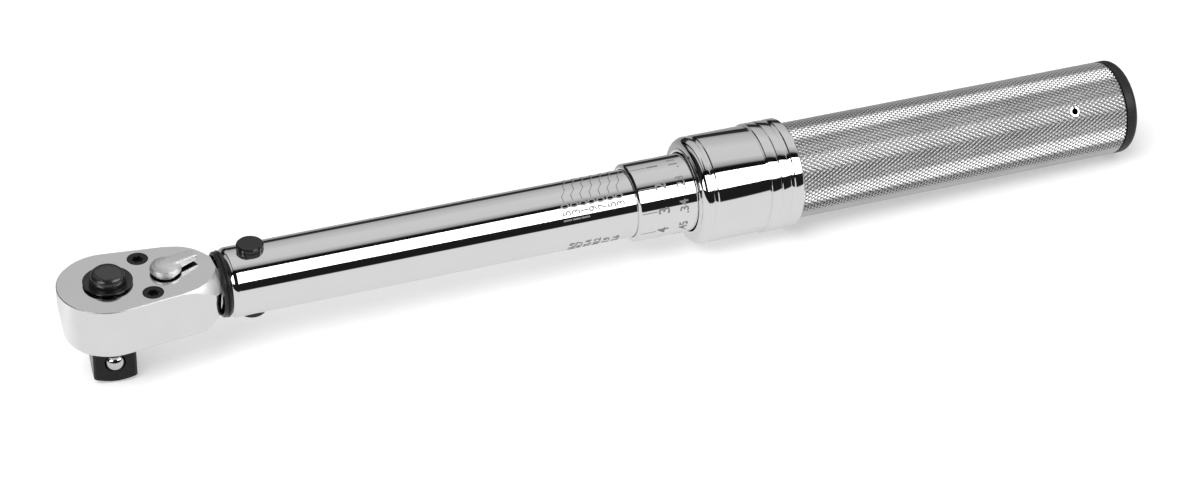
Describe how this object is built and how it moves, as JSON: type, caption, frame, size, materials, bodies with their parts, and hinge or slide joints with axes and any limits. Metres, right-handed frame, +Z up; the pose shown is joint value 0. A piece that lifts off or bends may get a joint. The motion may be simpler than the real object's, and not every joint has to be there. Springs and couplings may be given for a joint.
{
  "type": "torque wrench",
  "caption": "Click-type micrometer torque wrench with a reversible ratchet head, square drive, steel tube, turning scale thimble, sliding lock collar and knurled grip.",
  "frame": {"origin": "centre of the drive square's end face", "axes": "+X along the wrench from the drive to the grip, +Z up the drive axis towards the release button"},
  "size_m": [0.2633, 0.026, 0.0301],
  "materials": {
    "satin_chrome": "satin",
    "polished_chrome": "polished",
    "cast_steel": "fine cast, plated",
    "black_steel": "black, glossy",
    "black_oxide": "black oxide, satin",
    "bright_steel": "ground",
    "spring_steel": "drawn",
    "brass": "machined",
    "black_rubber": "smooth",
    "black_plastic": "fine matt"
  },
  "bodies": {
    "barrel": {"tube": "polished_chrome", "neck_seal": "black_rubber", "pivot_pin": "black_steel", "pin_retainer": "black_steel", "adjusting_nut": "brass"},
    "head": {"head_body": "satin_chrome", "cover_plate": "satin_chrome", "cover_screws": "black_steel"},
    "drive": {"drive_gear": "black_oxide", "hub_washer": "black_steel"},
    "button": {"release_button": "black_steel", "button_spring": "spring_steel"},
    "ball": {"detent_ball": "bright_steel"},
    "pawl": {"pawl": "black_oxide"},
    "lever": {"lever": "cast_steel", "lever_spring": "spring_steel"},
    "lever_pin": {"lever_plunger": "bright_steel"},
    "piston": {"plunger": "bright_steel"},
    "block": {"tilt_block": "black_oxide"},
    "seat": {"spring_seat": "bright_steel", "thrust_ball": "bright_steel", "main_spring": "spring_steel"},
    "handle": {"adjusting_screw": "bright_steel", "thimble": "polished_chrome", "grip": "polished_chrome", "end_plug": "bright_steel", "roll_pin": "bright_steel", "end_cap": "black_plastic", "lock_balls": "bright_steel", "stop_ring": "spring_steel", "collar_spring": "spring_steel"},
    "collar": {"lock_collar": "polished_chrome"}
  },
  "joints": [
    {"name": "head_pivot", "type": "hinge", "parent": "barrel", "child": "head", "pos_m": [0.03204, 0, 0.0171], "axis": [0, 0, 1], "range_deg": [-2.5, 2.5], "stiffness_Nm_per_rad": 10},
    {"name": "plunger_slide", "type": "slide", "parent": "barrel", "child": "piston", "axis": [1, 0, 0], "range_m": [0, 0.0006], "stiffness_N_per_m": 20000},
    {"name": "block_rock", "type": "hinge", "parent": "piston", "child": "block", "pos_m": [0.0486, 0, 0.0171], "axis": [0, 0, 1], "range_deg": [-6.5, 6.5]},
    {"name": "drive_turn", "type": "hinge", "parent": "head", "child": "drive", "pos_m": [0, 0, 0.0171], "axis": [0, 0, 1], "continuous": true},
    {"name": "button_press", "type": "slide", "parent": "drive", "child": "button", "axis": [0, 0, -1], "range_m": [0, 0.002], "stiffness_N_per_m": 600, "deforming": ["button_spring"]},
    {"name": "ball_retract", "type": "slide", "parent": "drive", "child": "ball", "axis": [0.1219, 0.9925, 0], "range_m": [0, 0.0009]},
    {"name": "lever_turn", "type": "hinge", "parent": "head", "child": "lever", "pos_m": [0.0129, 0, 0.0171], "axis": [0, 0, 1], "range_deg": [-40, 0]},
    {"name": "pawl_swing", "type": "hinge", "parent": "head", "child": "pawl", "pos_m": [0.0129, 0, 0.0171], "axis": [0, 0, 1], "range_deg": [-6.4, 0]},
    {"name": "lever_pin_slide", "type": "slide", "parent": "lever", "child": "lever_pin", "axis": [-0.9397, -0.342, 0], "range_m": [0, 0.0003], "stiffness_N_per_m": 500, "deforming": ["lever_spring"]},
    {"name": "torque_setting", "type": "slide", "parent": "barrel", "child": "seat", "axis": [-1, 0, 0], "range_m": [-0.0011, 0.0131], "deforming": ["main_spring"]},
    {"name": "handle_turn", "type": "hinge", "parent": "seat", "child": "handle", "pos_m": [0, 0, 0.0171], "axis": [-1, 0, 0], "range_deg": [-364, 4319]},
    {"name": "collar_pull", "type": "slide", "parent": "handle", "child": "collar", "axis": [1, 0, 0], "range_m": [0, 0.003], "stiffness_N_per_m": 800, "deforming": ["collar_spring"]}
  ],
  "couplings": [
    {"joint": "block_rock", "follows": "head_pivot", "ratio": -2.55},
    {"joint": "ball_retract", "follows": "button_press", "ratio": 0.45},
    {"joint": "pawl_swing", "follows": "lever_turn", "ratio": 0.16},
    {"joint": "handle_turn", "follows": "torque_setting", "rad_per_m": 5751.2}
  ]
}
